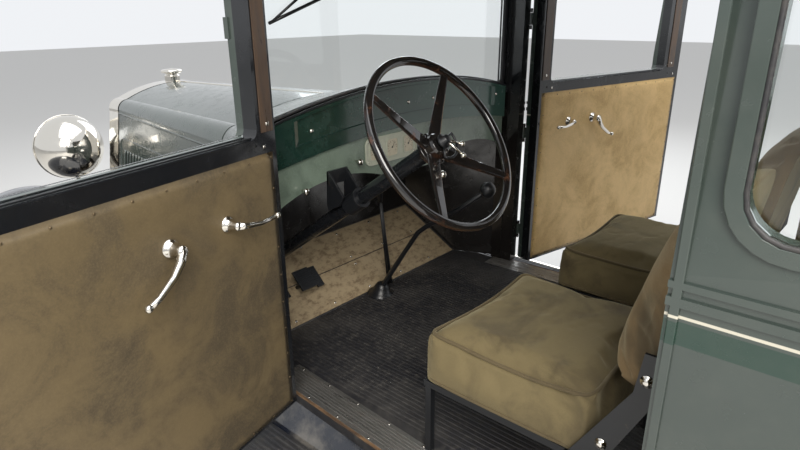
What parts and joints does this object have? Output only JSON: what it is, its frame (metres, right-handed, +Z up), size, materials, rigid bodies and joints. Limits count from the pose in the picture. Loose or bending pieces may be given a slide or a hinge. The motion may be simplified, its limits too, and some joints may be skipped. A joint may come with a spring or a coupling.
{
  "type": "vintage two-door closed car",
  "caption": "Late-1920s two-door closed car standing on wood-spoked wheels, both doors open, with steering, opening hood panels and a furnished cabin.",
  "frame": {"origin": "on the ground, at the middle of the car's length and width", "axes": "+X the driver's left, +Y the rear, +Z up"},
  "size_m": [3.1446, 4.3, 1.82],
  "materials": {
    "body_paint": "grey-green enamel, aged",
    "roof_fabric": "black coated fabric roof, long grain",
    "glass": "clear plate glass",
    "lens_glass": "ribbed clear lens",
    "floor_mat": "ribbed mat, dusty",
    "chassis": "black chassis enamel, dusty",
    "spring_steel": "oily spring steel",
    "cast_iron": "cast iron",
    "engine_iron": "painted cast iron",
    "exhaust_iron": "rusty iron",
    "nickel": "polished nickel",
    "radiator_brass": "honeycomb core, darkened",
    "black_enamel": "blue-black gloss enamel",
    "black_satin": "black satin paint",
    "dash_paint": "dark green enamel",
    "mohair": "worn olive-tan mohair",
    "wheel_rim": "black hard rubber, worn brown below",
    "wheel_wood": "varnished wood spokes on a steel rim",
    "tyre": "black balloon tyre"
  },
  "bodies": {
    "body": {"roof": "roof_fabric", "windscreen_frame": "body_paint", "rear_panel": "body_paint", "quarter_panels": "body_paint", "cowl": "body_paint", "fixed_glass": "glass", "floor": "floor_mat", "frame": "chassis", "leaf_springs": "spring_steel", "front_axle": "chassis", "rear_axle": "chassis", "driveline": "cast_iron", "engine": "engine_iron", "exhaust": "exhaust_iron", "fuel_tank": "chassis", "radiator_shell": "nickel", "radiator_core": "radiator_brass", "hood_hinge": "nickel", "hood_ledges": "black_enamel", "front_fenders": "black_enamel", "rear_fenders": "black_enamel", "running_boards": "black_enamel", "headlamps": "nickel", "headlamp_lenses": "lens_glass", "lamp_bar": "nickel", "dash": "dash_paint", "steering_column": "black_satin", "floor_controls": "black_satin", "front_cushions": "mohair", "front_backrests": "mohair", "seat_frames": "black_satin", "rear_cushion": "mohair", "rear_backrest": "mohair", "spare_wheel": "wheel_wood", "spare_tyre": "tyre", "spare_carrier": "black_enamel", "bumpers": "nickel"},
    "door_left": {"door_left": "body_paint", "door_glass_left": "glass"},
    "door_right": {"door_right": "body_paint", "door_glass_right": "glass"},
    "hood_top_left": {"hood_top_left": "body_paint"},
    "hood_top_right": {"hood_top_right": "body_paint"},
    "hood_side_left": {"hood_side_left": "body_paint"},
    "hood_side_right": {"hood_side_right": "body_paint"},
    "steering_wheel": {"steering_wheel": "wheel_rim"},
    "knuckle_left": {"knuckle_left": "chassis"},
    "knuckle_right": {"knuckle_right": "chassis"},
    "tie_rod": {"tie_rod": "chassis"},
    "wheel_front_left": {"wheel_front_left": "wheel_wood", "tyre_front_left": "tyre"},
    "wheel_front_right": {"wheel_front_right": "wheel_wood", "tyre_front_right": "tyre"},
    "wheel_rear_left": {"wheel_rear_left": "wheel_wood", "tyre_rear_left": "tyre"},
    "wheel_rear_right": {"wheel_rear_right": "wheel_wood", "tyre_rear_right": "tyre"}
  },
  "joints": [
    {"name": "door_left_hinge", "type": "hinge", "parent": "body", "child": "door_left", "pos_m": [0.635, -0.15, 1], "axis": [0, 0, -1], "range_deg": [-74.05, 5]},
    {"name": "door_right_hinge", "type": "hinge", "parent": "body", "child": "door_right", "pos_m": [-0.635, -0.15, 1], "axis": [0, 0, 1], "range_deg": [-74.05, 5]},
    {"name": "hood_top_left_hinge", "type": "hinge", "parent": "body", "child": "hood_top_left", "pos_m": [0, -1.13925, 1.22015], "axis": [0, -0.9997, -0.0228], "range_deg": [0, 60]},
    {"name": "hood_top_right_hinge", "type": "hinge", "parent": "body", "child": "hood_top_right", "pos_m": [0, -1.13925, 1.22015], "axis": [0, 0.9997, 0.0228], "range_deg": [0, 60]},
    {"name": "hood_side_left_hinge", "type": "hinge", "parent": "hood_top_left", "child": "hood_side_left", "pos_m": [0.3688, -1.136, 1.096], "axis": [-0.1362, -0.9907, 0], "range_deg": [0, 80]},
    {"name": "hood_side_right_hinge", "type": "hinge", "parent": "hood_top_right", "child": "hood_side_right", "pos_m": [-0.3688, -1.136, 1.096], "axis": [-0.1362, 0.9907, 0], "range_deg": [0, 80]},
    {"name": "steering_left", "type": "hinge", "parent": "body", "child": "knuckle_left", "pos_m": [0.605, -1.64, 0.381], "axis": [0, 0, 1], "range_deg": [-28, 28]},
    {"name": "steering_right", "type": "hinge", "parent": "body", "child": "knuckle_right", "pos_m": [-0.605, -1.64, 0.381], "axis": [0, 0, 1], "range_deg": [-28, 28]},
    {"name": "tie_rod_pivot", "type": "hinge", "parent": "knuckle_left", "child": "tie_rod", "pos_m": [0.605, -1.475, 0.313], "axis": [0, 0, 1], "range_deg": [-28, 28]},
    {"name": "steering_wheel_turn", "type": "hinge", "parent": "body", "child": "steering_wheel", "pos_m": [0.333, 0.178, 1.216], "axis": [0, 0.8211, 0.5707], "range_deg": [-336, 336]},
    {"name": "wheel_front_left_spin", "type": "hinge", "parent": "knuckle_left", "child": "wheel_front_left", "pos_m": [0.711, -1.64, 0.381], "axis": [1, 0, 0], "continuous": true},
    {"name": "wheel_front_right_spin", "type": "hinge", "parent": "knuckle_right", "child": "wheel_front_right", "pos_m": [-0.711, -1.64, 0.381], "axis": [1, 0, 0], "continuous": true},
    {"name": "wheel_rear_left_spin", "type": "hinge", "parent": "body", "child": "wheel_rear_left", "pos_m": [0.711, 1.281, 0.381], "axis": [1, 0, 0], "continuous": true},
    {"name": "wheel_rear_right_spin", "type": "hinge", "parent": "body", "child": "wheel_rear_right", "pos_m": [-0.711, 1.281, 0.381], "axis": [1, 0, 0], "continuous": true}
  ],
  "couplings": [
    {"joint": "steering_right", "follows": "steering_left", "ratio": 1},
    {"joint": "tie_rod_pivot", "follows": "steering_left", "ratio": -1},
    {"joint": "steering_wheel_turn", "follows": "steering_left", "ratio": 12}
  ]
}
